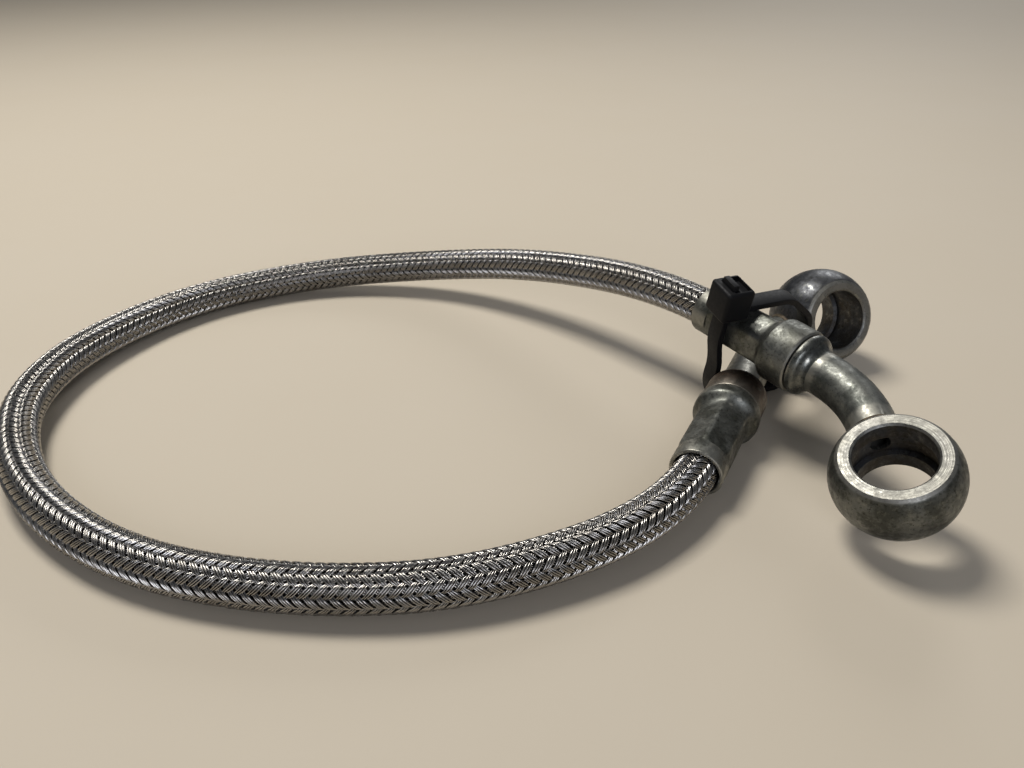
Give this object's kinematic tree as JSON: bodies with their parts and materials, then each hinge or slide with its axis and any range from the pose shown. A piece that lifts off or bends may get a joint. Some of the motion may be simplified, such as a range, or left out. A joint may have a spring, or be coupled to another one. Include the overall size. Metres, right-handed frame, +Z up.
{
  "type": "braided hose assembly",
  "caption": "Steel-braided oil supply hose in one loop, with a crimped, bent banjo union on each end and a loose black cable tie where the ends cross.",
  "frame": {"origin": "middle of the two unions' footprint, on the surface that the part lies on", "axes": "+Z up from that surface; +Y along the unions' longer extent, towards the ball-shaped eye; the hose's loop lies towards -X"},
  "size_m": [0.1748, 0.1221, 0.03],
  "materials": {
    "ptfe": "smooth extruded PTFE",
    "stainless_braid": "bright drawn stainless wire, woven",
    "zinc_ferrule": "aged zinc plate with die marks",
    "zinc_insert": "aged zinc plate, heat-tinted at the joint",
    "zinc_pipe": "aged zinc plate, satin",
    "dark_eye": "dark satin steel",
    "turned_eye": "mottled plate, faces turned bright",
    "black_nylon": "moulded nylon, semi-matt"
  },
  "bodies": {
    "root": {"hose_liner": "ptfe", "hose_braid": "stainless_braid", "ferrule_a": "zinc_ferrule", "insert_a": "zinc_insert", "pipe_a": "zinc_pipe", "eye_a": "dark_eye", "ferrule_b": "zinc_ferrule", "insert_b": "zinc_insert", "pipe_b": "zinc_pipe", "eye_b": "turned_eye", "cable_tie": "black_nylon"}
  },
  "joints": []
}
